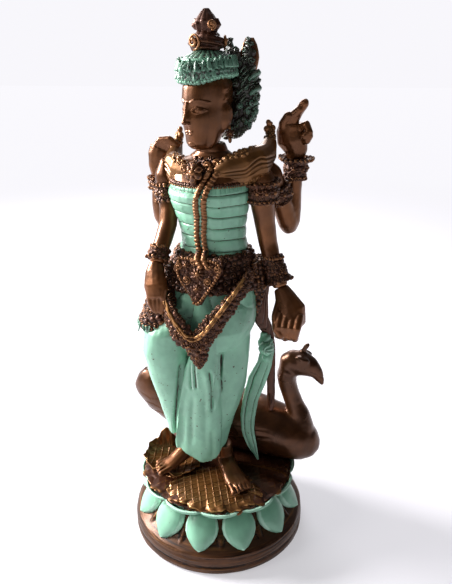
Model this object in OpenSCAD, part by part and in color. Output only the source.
// Standing four-armed deity with a swan, on a lotus pedestal.
// Cast pieces are joined by hidden studs, seats and soldered faces.
// Origin: centre of the underside. +Z up, the figure faces -Y and its left hand is on +X.

/* [Pedestal] */
// Widest diameter of the turned plinth
plinth_d = 141; // [130:1:150]
// Height of the plinth's upright rim
rim_h = 18; // [14:1:20]
// Diameter of the waist above the plinth
waist_d = 98; // [90:1:104]
// Height where the lotus cup starts
cup_z = 44; // [40:1:46]
// Diameter of the lotus cup at its lip
cup_d = 122; // [116:1:128]
// Width of a lower petal
petal_w = 26; // [18:1:28]
// Length of a lower petal
petal_l = 35; // [30:1:38]

/* [Figure] */
// Height of the crown's tip above the ground
total_h = 400; // [390:1:410]
// Half width of the bodice at its narrowest
waist_r = 23.5; // [20:0.5:26]
// Half width of the bodice at the bust
bust_r = 28.5; // [27:0.5:32]
// Radius of the neck
neck_r = 10; // [7:0.5:11]
// Turn of the head towards the figure's right
head_turn = 27; // [0:1:40]

/* [Fixings] */
// Thread diameter of the stud under the left foot
stud_d = 6; // [4:0.5:8]
// Width across the flats of its nut
nut_af = 10; // [8:0.5:13]
// Thread diameter of the screw that holds the swan
screw_d = 4; // [3:0.5:5]
// Clearance of a fixing in its hole, on the radius
hole_gap = 0.2; // [0.1:0.05:0.5]

/* [Hidden] */
$fn = 48;

PETALS = 12;
PETAL_NAMES = [for (i = [1:PETALS]) str("petal_", i < 10 ? "0" : "", i)];

// Colours
mint = [0.52, 0.78, 0.66];
mint_dark = [0.35, 0.52, 0.42];
bronze = [0.42, 0.25, 0.13];
bronze_dark = [0.24, 0.13, 0.10];
bronze_gold = [0.60, 0.40, 0.20];
steel = [0.55, 0.56, 0.58];

// Levels
pad_z = cup_z + 8;
sole_z = pad_z + 5;
seam_z = 236;
bodice_z = 292;
neck_z = 316.5;
band_z = 370.5;
knot_z = 375;

// How much lower the right wing sits
wing_drop = -6;

// Where the first gap between petals falls, in degrees
petal_turn = 4;

// Fixings
stud_at = [14, -17];
screw_at = [24, 28];
nut_pocket_r = 8;
nut_pocket_h = 9;
screw_head_r = 4;

// ---- Helpers ----

function unit(v) = v / norm(v);
function place(row) = [row[0], row[1], row[2]];
function centre(ring) = [for (p = ring) 1] * ring / len(ring);

// A closed skin over rings that each have the same number of points
module skin(rings) {
    n = len(rings[0]);
    m = len(rings);
    sides = [
        for (i = [0:m - 2], j = [0:n - 1])
            let (a = i * n + j, b = i * n + (j + 1) % n)
                each [[a, a + n, b + n], [a, b + n, b]]
    ];
    foot = [for (j = [0:n - 1]) [m * n, j, (j + 1) % n]];
    top = [for (j = [0:n - 1]) [m * n + 1, (m - 1) * n + (j + 1) % n, (m - 1) * n + j]];
    points = concat([for (ring = rings) each ring], [centre(rings[0]), centre(rings[m - 1])]);
    polyhedron(points, concat(sides, foot, top));
}

// Level elliptical slices: each row is [x, y, z, half width, half depth]
module stack(rows, n = 24) {
    step = sign(rows[len(rows) - 1][2] - rows[0][2]) * 360 / n;
    skin([
        for (r = rows)
            [for (j = [0:n - 1]) place(r) + [r[3] * cos(j * step), r[4] * sin(j * step), 0]]
    ]);
}

// Elliptical slices square to a path: each row is [x, y, z, radius, radius towards the reference]
module sweep(rows, n = 12, ref = [0, 1, 0]) {
    last = len(rows) - 1;
    skin([
        for (i = [0:last])
            let (
                d = unit(place(rows[min(i + 1, last)]) - place(rows[max(i - 1, 0)])),
                s = unit(cross(ref, d)),
                t = cross(d, s),
                ra = rows[i][3],
                rb = is_undef(rows[i][4]) ? ra : rows[i][4]
            )
                [
                    for (j = [0:n - 1])
                        place(rows[i]) + s * ra * cos(j * 360 / n) + t * rb * sin(j * 360 / n)
                ]
    ]);
}

// A finger: a thin sweep with a rounded tip through the given points
module digit(points, r, ref = [0, 1, 0]) {
    last = len(points) - 1;
    tip = points[last] + unit(points[last] - points[last - 1]) * r * 0.7;
    sweep(
        concat([for (i = [0:last]) [each points[i], r * (1 - 0.15 * i / last)]], [[each tip, r * 0.35]]),
        8,
        ref
    );
}

// Joins or cuts faceted shapes as one closed mesh
module blend() {
    resize([0, 0, 0]) children();
}

// Stands a shape at a point with its Z axis along a direction
module aim(at, along) {
    translate(at)
        rotate([0, acos(along[2] / norm(along)), atan2(along[1], along[0])])
            children();
}

// The band of a bracelet or an armband: a ring with a raised middle and a flared end
module band(r, h, wall, flare) {
    rotate_extrude()
        polygon([
            [r, 0],
            [r + wall, 0],
            [r + wall * 0.7, h * 0.2],
            [r + wall, h * 0.5],
            [r + wall * 0.7, h * 0.75],
            [r + wall + flare, h],
            [r + flare * 0.6, h]
        ]);
}

module in_head_frame() {
    translate([-1, -2, 0]) rotate([0, 0, -head_turn]) children();
}

// ---- Pedestal ----

// The turned outline of the plinth up to the cup
module pedestal_form() {
    r = plinth_d / 2;
    w = waist_d / 2;
    rotate_extrude()
        polygon([
            [0, 0],
            [r - 1.5, 0],
            [r, 1.5],
            [r, rim_h * 0.3],
            [r - 0.8, rim_h * 0.36],
            [r - 0.8, rim_h * 0.42],
            [r, rim_h * 0.48],
            [r, rim_h * 0.72],
            [r - 0.8, rim_h * 0.78],
            [r - 0.4, rim_h * 0.9],
            [r - 2, rim_h],
            [w + 13, rim_h + 4],
            [w + 6, rim_h + 11],
            [w + 1.5, rim_h + 19],
            [w, cup_z],
            [0, cup_z]
        ]);
}

module plinth() {
    color(bronze)
        difference() {
            pedestal_form();
            fixing_holes(0, cup_z);
            translate([stud_at[0], stud_at[1], 0]) cylinder(r = nut_pocket_r, h = nut_pocket_h);
            translate([screw_at[0], screw_at[1], 0]) cylinder(r = screw_head_r + 1, h = nut_pocket_h);
        }
}

// Clearance holes for the stud and the swan's screw between two levels
module fixing_holes(z0, z1) {
    translate([stud_at[0], stud_at[1], z0 - 1]) cylinder(d = stud_d + 2 * hole_gap, h = z1 - z0 + 2);
    translate([screw_at[0], screw_at[1], z0 - 1]) cylinder(d = screw_d + 2 * hole_gap, h = z1 - z0 + 2);
}

module lotus_cup() {
    w = waist_d / 2;
    r = cup_d / 2;
    color(bronze_dark)
        difference() {
            rotate_extrude()
                polygon([
                    [0, cup_z], [w, cup_z], [w + 3, cup_z + 3],
                    [r - 3, cup_z + 6], [r, pad_z], [0, pad_z]
                ]);
            fixing_holes(cup_z, pad_z);
        }
}

// The upper petals are cast as one scalloped ring around the cup
module upper_petals() {
    n = 96;
    ring = function(r, flare, z) [
        for (j = [0:n - 1])
            let (a = j * 360 / n, reach = r + flare * abs(sin((a - petal_turn) * PETALS / 2)))
                [reach * cos(a), reach * sin(a), z]
    ];
    color(mint)
        blend() difference() {
            skin([
                ring(52, 0, cup_z + 1),
                ring(56, 4, cup_z + 2),
                ring(61, 4.2, pad_z - 2.5),
                ring(61.4, 2.6, pad_z - 0.8)
            ]);
            cylinder(r = cup_d / 2, h = 2 * pad_z, $fn = n);
        }
}

module lotus_pad() {
    r = cup_d / 2;
    color(bronze_dark)
        difference() {
            rotate_extrude()
                polygon([
                    [0, pad_z], [r - 0.5, pad_z], [r - 1.5, pad_z + 1.5],
                    [r - 10, pad_z + 2.5], [0, pad_z + 2.5]
                ]);
            fixing_holes(pad_z, sole_z);
        }
}

// A lower petal: a pointed leaf that bulges outwards, laid against the pedestal's hollow flank
module petal(i) {
    angle = 270 + petal_turn + i * 360 / PETALS;
    shape = [
        [0, 0.25, 0.3], [0.08, 0.6, 0.6], [0.25, 0.9, 0.9], [0.45, 1, 1], [0.65, 0.82, 0.9],
        [0.85, 0.45, 0.6], [1, 0.08, 0.15]
    ];
    foot = [66.5, 0, rim_h - 1];
    lean = [-0.57, 0, 0.82];
    color(mint)
        blend() difference() {
            rotate([0, 0, angle])
                skin([
                    for (s = shape)
                        let (at = foot + lean * petal_l * (1 - s[0]), w = petal_w / 2 * s[1], t = 6 * s[2])
                            [
                                for (j = [0:11])
                                    let (c = cos(j * 30), q = sin(j * 30))
                                        at + [0.82, 0, 0.57] * t * c * (c > 0 ? 1 : 0.4) + [0, -w * q, 0]
                            ]
                ]);
            pedestal_form();
        }
}

// ---- Lotus leaves under the feet ----

// A ruffled leaf: half sizes, centre, height of the rim above the middle, and the number of ruffles
module leaf(at, rx, ry, rise, waves) {
    n = 36;
    thick = 1.8;
    tier = function(k, dz, ruffle) [
        for (j = [0:n - 1])
            let (a = j * 360 / n, q = k * (1 + 0.05 * ruffle * cos(a * waves)))
                at + [rx * q * cos(a), ry * q * sin(a), dz + rise * k * k + 0.7 * ruffle * sin(a * waves)]
    ];
    color(bronze_gold)
        skin([
            tier(0.1, 0, 0), tier(0.6, 0, 0), tier(1, 0, 1),
            tier(1, thick, 1), tier(0.6, thick, 0), tier(0.1, thick, 0)
        ]);
}

module leaf_front() {
    difference() {
        leaf([4, -33, pad_z + 2.8], 40, 26.5, -2, 9);
        color(bronze_gold) fixing_holes(pad_z, sole_z + 3);
    }
}

// The curled leaf under the raised foot, with its upright tips
module leaf_left() {
    color(bronze_gold)
        blend() union() {
            leaf([-36, -14, pad_z + 6], 23, 21, 4, 7);
            sweep([
                [-48.6, -15.2, 60.4, 3, 8.3], [-54.1, -16.1, 63.8, 2.4, 7.2],
                [-58, -18.4, 66, 1.6, 4.6], [-61, -21, 66.6, 0.8, 1.5]
            ], 12);
            sweep([
                [-46.3, -1.1, 59.3, 8.7, 3.1], [-49.2, 2.7, 66.1, 10.6, 2.7],
                [-49.4, 4.6, 72.3, 8.7, 2.1], [-43.6, 5.7, 79, 2.9, 0.8]
            ], 12);
            sweep([[-42, -31, 61, 6, 2.4], [-41, -34.5, 64, 5, 1.8], [-39, -37, 67, 1.2, 0.8]], 12);
        }
}

// ---- Fixings ----

module fixing_stud() {
    color(steel)
        translate([stud_at[0], stud_at[1], nut_pocket_h - 7])
            cylinder(d = stud_d, h = sole_z + 11 - nut_pocket_h);
}

module fixing_nut() {
    color(steel)
        translate([stud_at[0], stud_at[1], nut_pocket_h - 6])
            difference() {
                union() {
                    cylinder(d = nut_af / cos(30), h = 5, $fn = 6);
                    translate([0, 0, 4.5]) cylinder(r = nut_pocket_r - 1, h = 1.5);
                }
                translate([0, 0, -1]) cylinder(d = stud_d, h = 9);
            }
}

module swan_screw() {
    color(steel)
        translate([screw_at[0], screw_at[1], 0]) {
            translate([0, 0, nut_pocket_h - 3]) cylinder(r = screw_head_r, h = 3);
            translate([0, 0, nut_pocket_h]) cylinder(d = screw_d, h = sole_z + 5 - nut_pocket_h);
        }
}

// ---- Swan ----

module swan_hull() {
    sweep(
        [
            [-79, 24, 112, 2, 3],
            [-77, 24, 111, 7, 11],
            [-71, 24, 107, 10, 16],
            [-60, 24, 100, 12.5, 18.5],
            [-46, 25, 92, 15, 20],
            [-30, 26, 86, 17, 22],
            [-14, 28, 81, 19, 24],
            [8, 29, 79, 21.5, 26],
            [28, 29, 77, 22, 25],
            [44, 29, 74, 21, 23],
            [58, 29, 70, 19, 20],
            [68, 29, 67, 15.5, 17],
            [76, 29, 66, 9.5, 11.5],
            [80, 29, 66, 3, 4]
        ],
        24,
        [0, 0, 1]
    );
}

module swan_body() {
    color(bronze)
        difference() {
            blend() difference() {
                swan_hull();
                skirt_form();
                sash();
                translate([0, 0, pad_z + 2.5 - 20]) cylinder(r = cup_d / 2, h = 20);
            }
            translate([screw_at[0], screw_at[1], pad_z]) cylinder(d = screw_d, h = 13);
        }
}

module swan_neck() {
    color(bronze)
        blend() difference() {
            sweep(
                [
                    [62, 29, 72, 13, 14],
                    [64, 29, 82, 10.5, 11],
                    [62, 30, 92, 8.5, 9],
                    [58, 30, 101, 7.2, 7.5],
                    [54.5, 30, 110, 7, 7.2],
                    [51.5, 30, 119, 7.3, 7.6],
                    [50.5, 30, 127, 8, 8.5],
                    [53, 30, 134, 8.5, 9.5]
                ],
                16
            );
            swan_hull();
            swan_skull();
        }
}

module swan_skull() {
    sweep(
        [
            [46, 30, 135, 3, 3],
            [49, 30, 137, 7, 8],
            [55, 30, 139.5, 8.5, 10.5],
            [63, 30, 139.5, 8.5, 10.5],
            [70, 30, 136.5, 6.8, 8.5],
            [75, 30, 132.5, 4, 5.5],
            [78, 30, 127, 2.6, 3.6],
            [80.5, 30, 121.5, 0.8, 1]
        ],
        16,
        [0, 0, 1]
    );
}

module swan_head() {
    color(bronze)
        blend() union() {
            swan_skull();
            sweep([
                [62, 30, 147, 3, 2.5], [64, 30, 152, 2, 1.6],
                [66.5, 30, 156, 2.4, 2], [68.5, 30, 157.5, 1.4, 1.2]
            ], 8);
        }
}

// ---- Feet and skirt ----

module left_foot() {
    color(bronze)
        difference() {
            blend() difference() {
                union() {
                    sweep(
                        [
                            [5, 2, 61, 3, 2.5],
                            [6, 0, 62, 6.5, 5.5],
                            [9, -8, 64, 7.5, 7.5],
                            [15, -18, 63, 7.5, 6],
                            [22, -26, 60.5, 9, 4],
                            [29, -32.5, 59.5, 9, 2.8],
                            [32.5, -36, 59, 6, 1.6]
                        ],
                        16,
                        [0, 0, 1]
                    );
                    stack([[9.5, -7, 62, 6.5, 8], [9.5, -8.5, 70, 5.6, 7], [8.5, -9.5, 80, 6, 7.5]], 16);
                }
                translate([0, 0, pad_z - 5]) cube([200, 200, 2 * (sole_z - pad_z - 0.1)], center = true);
                skirt_form();
            }
            translate([stud_at[0], stud_at[1], sole_z - 4]) cylinder(d = stud_d, h = 9);
        }
}

module right_foot() {
    color(bronze)
        blend() difference() {
            union() {
                sweep(
                    [
                        [-21, -4, 72, 3, 3],
                        [-21.5, -7, 71, 6, 6],
                        [-24.5, -16, 68.5, 6.5, 6.5],
                        [-30, -24, 65, 6.8, 4.5],
                        [-35.5, -31, 62.6, 7.6, 2.8],
                        [-38.5, -35, 62, 6, 1.5]
                    ],
                    16,
                    [0, 0, 1]
                );
                stack([[-22.5, -9, 69, 6, 6.5], [-23, -11, 84, 6.2, 7], [-24.5, -12.5, 95, 6.5, 7.5]], 16);
            }
            skirt_form();
            translate([0, 0, 59.4]) mirror([0, 0, 1]) translate([-60, -60, 0]) cube([60, 90, 6]);
        }
}

// The wrapped cloth: hips, straight left leg and bent right leg
module skirt_form() {
    stack([
        [0, 0, seam_z, 25, 20],
        [-1, 0, 228, 30, 25],
        [-3, -1, 215, 35, 29],
        [-4, -3, 200, 37, 31],
        [-4, -6, 186, 35, 32],
        [-3, -8, 172, 28, 27]
    ]);
    stack([
        [10, -3, 204, 23, 25],
        [9.5, -5, 182, 18.5, 21],
        [9.5, -5, 155, 17.5, 18],
        [8, -6, 135, 17, 16.5],
        [3.5, -7, 114, 15.5, 15],
        [-1, -9, 95, 13.5, 14],
        [-2.5, -10, 76, 11.5, 12]
    ]);
    stack([
        [-17, -9, 204, 21, 25],
        [-28, -23, 186, 19, 22],
        [-30, -26, 170, 18, 19],
        [-29, -24, 148, 16, 16.5],
        [-27, -19, 125, 14.5, 15],
        [-25, -15, 103, 12.5, 14],
        [-24.5, -13, 90, 11, 13]
    ]);
    stack([[-8, 0, 206, 28, 22], [-9, -1, 150, 24, 15], [-10, -4, 100, 20, 13], [-10, -7, 84, 16, 11]]);
}

module skirt() {
    color(mint) blend() union() skirt_form();
}

// The pleated front of the cloth, with its hem drawn down to a point
module skirt_panel() {
    n = 24;
    hem = [
        for (j = [0:n - 1])
            let (a = j * 360 / n, dip = pow(max(0, cos(a - 300)), 2))
                [-10 + 18.5 * cos(a), -20 + 10 * sin(a), 82 - 10 * dip]
    ];
    slice = function(r) [
        for (j = [0:n - 1])
            place(r) + [r[3] * cos(j * 360 / n), r[4] * sin(j * 360 / n), 0]
    ];
    color(mint)
        blend() difference() {
            skin([
                hem,
                slice([-8.5, -21, 95, 18.5, 10.5]),
                slice([-7, -23, 118, 17.5, 11]),
                slice([-2.5, -26.5, 142, 14, 11]),
                slice([0, -30, 160, 11, 10.5]),
                slice([1, -32, 185, 9, 9])
            ]);
            skirt_form();
        }
}

module sash() {
    color(mint)
        blend() difference() {
            sweep([
                [36, 9, 173, 2.5, 2.5],
                [37, 9, 166, 6, 5],
                [38.5, 10, 158, 5.5, 4],
                [36, 11, 144, 6, 2.6],
                [30, 12, 129, 7.5, 2.4],
                [25.5, 10, 113, 6.5, 2.2],
                [24, 6.5, 98, 6.2, 2],
                [24.5, 4, 86, 5.6, 1.8],
                [28.5, 3, 74, 4, 1.5],
                [34, 2, 60, 0.8, 0.8]
            ]);
            skirt_form();
        }
}

// ---- Belt and hip ornaments ----

module belt() {
    color(bronze_dark)
        blend() difference() {
            stack([
                [-2, -1, 216, 38, 31],
                [-1, -1, 222, 36.5, 30],
                [-1, 0, 230, 33.5, 27.5],
                [0, 0, 238, 29.5, 24],
                [0, 0, 242, 27, 21.5]
            ]);
            skirt_form();
            bodice_form();
        }
}

module buckle() {
    plate_t = 4;
    color(bronze_dark)
        translate([-2, -24, 241])
            rotate([-20, 0, 0])
                rotate([90, 0, 0])
                    linear_extrude(plate_t)
                        polygon([[-16, 0], [16, 0], [18, -9], [10, -21], [4, -33], [0, -33], [-9, -21], [-18, -9]]);
}

module hip_cloth_left() {
    color(bronze_dark)
        blend() difference() {
            stack(
                [
                    [40, 20, 98, 2, 2],
                    [40, 18, 118, 3.2, 2.6],
                    [40, 17, 142, 3.6, 2.8],
                    [39.5, 16.5, 160, 3.8, 3],
                    [37, 14, 174, 4, 5],
                    [34, 9, 184, 4.4, 8],
                    [33, 7, 200, 5, 11],
                    [34, 5, 216, 5.5, 13],
                    [32, 4, 234, 5, 12]
                ],
                16
            );
            belt();
            skirt_form();
            sash();
        }
}

module hip_cloth_right() {
    color(bronze_dark)
        blend() difference() {
            stack(
                [
                    [-33, -20, 189, 19, 22],
                    [-31, -17, 204, 15.5, 20],
                    [-29, -12, 220, 12, 16],
                    [-26, -9, 232, 8.5, 13]
                ],
                20
            );
            belt();
            skirt_form();
        }
}

module hip_garland() {
    color(bronze_dark)
        blend() difference() {
            union() {
                sweep(
                    [
                        [32, -15, 229, 2.5, 4],
                        [28, -27, 221, 3, 5.5],
                        [19.5, -36, 209, 3, 6.5],
                        [9.5, -41, 196, 3.5, 8],
                        [-0.5, -43.5, 182, 4, 9],
                        [-10, -44, 189, 4, 9],
                        [-18, -42, 200, 3.5, 8],
                        [-25, -37, 211, 3, 6]
                    ],
                    10,
                    [0, 0, 1]
                );
                stack([
                    [1, -42, 164, 1.5, 1.5], [0.5, -41, 170, 5, 4],
                    [-1, -41, 179, 9, 5], [-1, -41, 187, 8, 4]
                ], 12);
            }
            skirt_form();
            skirt_panel();
        }
}

// ---- Upper body ----

module bodice_form() {
    stack([
        [0, 0, seam_z, waist_r + 3, 20.5],
        [0, 0, 243, waist_r + 1, 19],
        [0, 0, 250, waist_r, 18.5],
        [-0.5, -1, 260, waist_r + 0.7, 19],
        [-1, -2, 270, waist_r + 3, 21],
        [-1, -4, 278, bust_r - 0.7, 25],
        [-1, -5, 284, bust_r, 26.5],
        [-1, -3, bodice_z, bust_r - 1, 23]
    ]);
}

module bodice() {
    color(mint) bodice_form();
}

module torso_form() {
    stack([
        [-1, -3, bodice_z, bust_r - 1, 23],
        [0, -2, 298, 31, 19],
        [0, 0, 303, 29, 15],
        [0, 0, 307, 17, 11],
        [0, 0, 311, neck_r + 1, neck_r + 1],
        [-1, -1, neck_z, neck_r, neck_r]
    ]);
}

module torso() {
    color(bronze) torso_form();
}

module collar() {
    color(bronze_dark)
        blend() difference() {
            union() {
                stack([
                    [0, -4, 297.5, 18, 19.5], [0, -3, 301, 17.5, 17.5],
                    [0, -1.5, 305, 14.5, 14], [0, 0, 308, 12.5, 12.5]
                ]);
                translate([-6.5, -21, 300]) sphere(r = 6, $fn = 16);
            }
            torso_form();
            bodice_form();
            // It ends at the shoulders, so nothing of it is left behind the neck
            translate([-20, 0, 290]) cube([40, 20, 20]);
        }
}

module wing_form() {
    sweep(
        [
            [8, -19, 297, 3, 5],
            [16, -15, 300, 5, 10],
            [26, -9, 302, 7.2, 12.5],
            [33.5, -1, 304, 8.2, 12],
            [36.5, 8, 309, 7, 8],
            [37, 15, 315, 4.8, 5.5],
            [36.5, 19, 321, 2.8, 3.6],
            [35.5, 21, 329, 1, 1.2]
        ],
        14,
        [0, 0, 1]
    );
}

module wing_right_form() {
    translate([0, 0, wing_drop]) mirror([1, 0, 0]) scale([0.86, 1, 1]) wing_form();
}

module wing_left() {
    color(bronze_gold)
        blend() difference() {
            wing_form();
            torso_form();
            collar();
        }
}

module wing_right() {
    color(bronze_gold)
        blend() difference() {
            wing_right_form();
            torso_form();
            collar();
        }
}

// ---- Head and crown ----

module skull_form() {
    in_head_frame() {
        stack([
            [0, -4, 313, 6, 6],
            [0, -7, 313.6, 8, 7],
            [0, -7, 317.5, 11, 11],
            [0, -4.5, 326, 13.5, 15],
            [0, -3, 338, 14.8, 17.5],
            [0, -2, 346, 15.2, 18],
            [0, -1.5, 354, 14.5, 17.5],
            [0, -1, 361, 11, 13.5],
            [0, 0, 365, 5, 6]
        ]);
        stack([[0, -19, 331, 3.2, 2.5], [0, -21, 333.5, 2.6, 3], [0, -19, 343, 1.6, 2.5]], 10);
        for (side = [-1, 1])
            stack([
                [14 * side, 1, 326, 1.5, 2], [15 * side, 1, 331, 2.2, 3.4],
                [15.5 * side, 2, 339, 1.8, 4.5], [15 * side, 2, 343, 1, 2]
            ], 10);
    }
}

module head() {
    color(bronze)
        blend() difference() {
            skull_form();
            torso_form();
        }
}

module band_form() {
    in_head_frame()
        stack([
            [0, -1, 355, 16.5, 19.5],
            [0, -1, 357.5, 18.3, 21],
            [0, -1, 363.5, 18.6, 21],
            [0, 0, 368.5, 16.5, 18.5],
            [0, 0, band_z, 15, 16.5]
        ]);
}

module crown_band() {
    color(mint)
        blend() difference() {
            band_form();
            skull_form();
        }
}

module crown_dome() {
    color(mint_dark)
        in_head_frame()
            stack([
                [0, 0, band_z, 15, 16.5], [0, 0, 372.5, 12.5, 13.5],
                [0, 0, 374, 10, 10.5], [0, 0, knot_z, 8, 8.5]
            ]);
}

module topknot() {
    color(bronze_dark)
        blend() union() {
            stack(
                [
                    [-2, -1, knot_z, 9, 9],
                    [-2, -1, 377, 11.5, 11.5],
                    [-2, -1, 380.5, 11.8, 11.8],
                    [-2, -1, 384, 8.8, 8.8],
                    [-2, -1, 386.5, 5.8, 5.8],
                    [-2, -1, 389, 6.5, 6.5],
                    [-2, -1, 392.5, 7.2, 7.2],
                    [-2, -1, 396, 4.8, 4.8],
                    [-2, -1, total_h, 1.2, 1.2]
                ],
                16
            );
            for (side = [-1, 1])
                translate([-2, -1, 0])
                    stack([
                        [6 * side, 0, 387.5, 2, 2], [7.5 * side, 0, 390, 2.6, 2.6],
                        [6.5 * side, 0, 394, 1.6, 1.6]
                    ], 8);
        }
}

// The curled mass behind the head, with its two upright leaves
module hair_ornament() {
    color(bronze_dark)
        blend() difference() {
            in_head_frame() {
                stack([
                    [0, 20, 318, 6, 5],
                    [0, 23, 325, 14, 8],
                    [0, 25, 335, 18, 10],
                    [0, 25, 347, 20, 11],
                    [0, 25, 357, 19, 10.5],
                    [0, 23, 365, 14, 8],
                    [0, 23, 372, 8, 5],
                    [0, 24, 377, 2, 2]
                ]);
                for (at = [[-4, 25], [11.5, 26.5]])
                    stack([
                        [each at, 350, 5, 5], [each at, 364, 5, 3.5],
                        [each at, 374, 4, 2.6], [each at, 382.5, 0.8, 0.8]
                    ], 12);
            }
            band_form();
            skull_form();
        }
}

// ---- Arms ----

front_left = [
    [31, 0, 303, 7],
    [35, 1, 292, 9],
    [35, 2, 279, 8.4],
    [36.5, 5, 261, 7],
    [38.8, 6, 246, 6.6],
    [42, 4, 235.5, 6],
    [46, 1.5, 226, 5.6],
    [50, -0.5, 216, 5.2]
];
front_right = [
    [-31, 0, 303, 7],
    [-34, -1, 292, 8.5],
    [-33, -2, 281, 7.4],
    [-31.5, -5, 270, 6.6],
    [-31, -10, 259, 6.2],
    [-32.5, -17, 249, 6],
    [-34, -23, 241, 5.6],
    [-34.2, -27, 235.5, 5.2]
];
rear_left_upper = [
    [28, 9, 303, 7], [38, 15, 293, 8.2], [42, 20, 281, 7.6],
    [46, 25, 266, 7.2], [49, 28, 255, 7], [50, 29, 248.5, 4]
];
rear_left_lower = [
    [49.5, 29, 249, 4.5], [49.5, 31, 256, 7.2], [49.5, 32, 266, 7.6], [50.5, 33, 279, 6.5],
    [52, 32, 290, 5.2], [52.3, 31.5, 300, 5]
];
rear_right_upper = [
    [-28, 9, 303, 7], [-36, 15, 292, 7.6], [-38.5, 18, 281, 7], [-41, 19, 268, 6.8],
    [-43.5, 19, 257, 6.6], [-44.5, 19, 250, 4]
];
rear_right_lower = [
    [-44.5, 18, 250, 4.5], [-45.5, 16, 258, 6.8], [-46, 15, 268, 6.8],
    [-46.5, 14.5, 279, 5.6], [-46.5, 14.5, 288, 5]
];

module chest_cut() {
    torso_form();
    bodice_form();
}

module arm_front_left() {
    color(bronze)
        blend() difference() {
            sweep(front_left);
            chest_cut();
            wing_form();
        }
}

module arm_front_right() {
    color(bronze)
        blend() difference() {
            sweep(front_right);
            chest_cut();
            wing_right_form();
        }
}

module arm_rear_left() {
    color(bronze)
        blend() difference() {
            union() {
                sweep(rear_left_upper);
                sweep(rear_left_lower);
            }
            chest_cut();
            wing_form();
            sweep(front_left);
        }
}

module arm_rear_right() {
    color(bronze)
        blend() difference() {
            union() {
                sweep(rear_right_upper);
                sweep(rear_right_lower);
            }
            chest_cut();
            wing_right_form();
            sweep(front_right);
        }
}

// The hanging hand: palm, four curled fingers and the thumb
module hand_front_left() {
    color(bronze)
        blend() union() {
            sweep([
                [50.5, -0.8, 214.8, 5], [54, -3, 209, 7.5, 6], [59, -5, 201, 10.5, 8],
                [60, -7, 193, 10, 8.5], [58, -8, 188, 7, 6]
            ], 12);
            for (k = [0:3])
                digit([
                    [52.5 + 4.6 * k, -10, 199], [52 + 4.5 * k, -16, 191], [51.5 + 4 * k, -13, 183],
                    [52.5 + 3.5 * k, -8, 180 - (k % 2)]
                ], 3);
            digit([[50.5, -5, 206], [49, -12, 197], [50.5, -16, 189], [54, -16, 184]], 2.8);
            // The closed fist has no hollow inside
            translate([58.5, -12, 190]) sphere(r = 4, $fn = 12);
        }
}

// The lowered open hand, seen with its palm forward
module hand_front_right() {
    color(bronze)
        blend() union() {
            sweep([
                [-34.3, -27.5, 234.5, 5], [-33.8, -32, 230, 7, 4.2],
                [-32, -36.5, 222, 8.6, 4.2], [-30.5, -38.5, 214, 7.5, 3.6]
            ], 12);
            for (k = [0:3])
                digit([
                    [-36 + 3.7 * k, -38.5, 216], [-34.8 + 3.2 * k, -40, 209],
                    [-32.3 + 1.9 * k, -40.5, 204.5 - (k % 2)]
                ], 2.2);
            digit([[-27, -34, 227], [-24.5, -38, 220], [-25.5, -40, 214]], 2.2);
        }
}

// The raised hand: thumb and first finger meet, the others stand up
module hand_rear_left() {
    color(bronze)
        blend() union() {
            sweep([
                [52.2, 31.5, 301.2, 5], [53, 31, 307, 7.5, 5.5], [50, 30, 315, 11, 6.5],
                [49, 30, 322, 10.5, 6], [49, 29, 327, 8, 5]
            ], 12);
            digit([[48, 29, 323], [53.5, 28, 334], [58.5, 27, 341]], 3.4);
            digit([[44.5, 29, 322], [50, 27, 332], [56, 26, 337]], 3.2);
            digit([[54, 29, 323], [60.5, 26, 326.5], [62.5, 25, 322], [59, 24, 318.5]], 3);
            digit([[55, 29, 315], [61, 26, 316], [63, 25, 319.5]], 2.8);
            digit([[42.5, 29, 318], [43.5, 26, 327], [47.5, 25, 333]], 2.8);
        }
}

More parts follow.
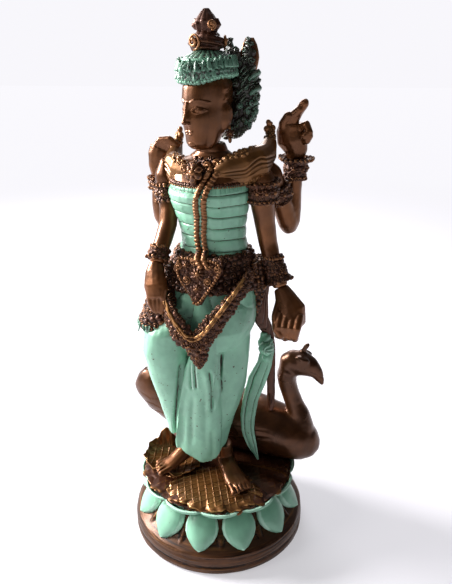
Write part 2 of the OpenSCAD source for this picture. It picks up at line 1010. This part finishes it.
// The raised right hand leans in over the shoulder and holds a loop of beads
module hand_rear_right() {
    color(bronze)
        blend() union() {
            sweep([
                [-46.5, 14.5, 289.2, 5], [-47, 14.5, 296, 6.8, 4.8],
                [-45.5, 14.5, 304, 8.5, 5], [-43.5, 14.5, 309, 8.5, 4.5]
            ], 12);
            for (k = [0:3])
                digit([
                    [-49.5 + 3.1 * k, 14, 308.5 - 0.8 * k], [-43 + 2.6 * k, 12, 315.5 - 1.3 * k],
                    [-35 + 2 * k, 11, 316.5 - 1.5 * k]
                ], 2.2);
            digit([[-41, 12, 299], [-35, 9, 304.5], [-31, 9, 307]], 2.3);
        }
}

// ---- Armbands and bracelets ----

module armband_front_left() {
    color(bronze_dark) aim([35.2, 2, 277.5], [-0.4, -1, 12]) band(8.6, 14, 3.4, 1.2);
}

module armband_front_right() {
    color(bronze_dark) aim([-32, -3, 275], [-1, 1.5, 11]) band(6.8, 12, 3, 1);
}

module armband_rear_left() {
    color(bronze_dark) aim([43.8, 22.2, 274], [-4, -5, 13]) band(7.4, 12, 2.8, 1);
}

module armband_rear_right() {
    color(bronze_dark) aim([-40.6, 18.9, 270], [1.6, -0.8, 11]) band(6.7, 10, 2.6, 1);
}

module bracelet_front_left() {
    color(bronze_dark) aim([41.9, 4.1, 236], [8, -4.5, -19.5]) band(5.8, 19, 2.2, 3);
}

module bracelet_front_right() {
    color(bronze_dark) aim([-33.4, -20.5, 244.5], [-1, -6, -8]) band(5.4, 9, 2.2, 1);
}

module bracelet_rear_left() {
    color(bronze_dark) aim([51.9, 32, 288], [0.8, -0.5, 12]) band(5.4, 15, 3.2, 4.4);
}

module bracelet_rear_right() {
    color(bronze_dark) aim([-46.5, 14.5, 279.5], [0, 0, 1]) band(5.4, 9, 2.1, 1.2);
}

plinth();
lotus_cup();
upper_petals();
lotus_pad();
leaf_front();
leaf_left();
fixing_stud();
fixing_nut();
swan_screw();
for (i = [0:PETALS - 1]) {
    petal(i);
}
swan_body();
swan_neck();
swan_head();
left_foot();
right_foot();
skirt();
skirt_panel();
sash();
belt();
buckle();
hip_cloth_left();
hip_cloth_right();
hip_garland();
bodice();
torso();
collar();
wing_left();
wing_right();
head();
hair_ornament();
crown_band();
crown_dome();
topknot();
arm_front_left();
arm_front_right();
arm_rear_left();
arm_rear_right();
hand_front_left();
hand_front_right();
hand_rear_left();
hand_rear_right();
armband_front_left();
armband_front_right();
armband_rear_left();
armband_rear_right();
bracelet_front_left();
bracelet_front_right();
bracelet_rear_left();
bracelet_rear_right();
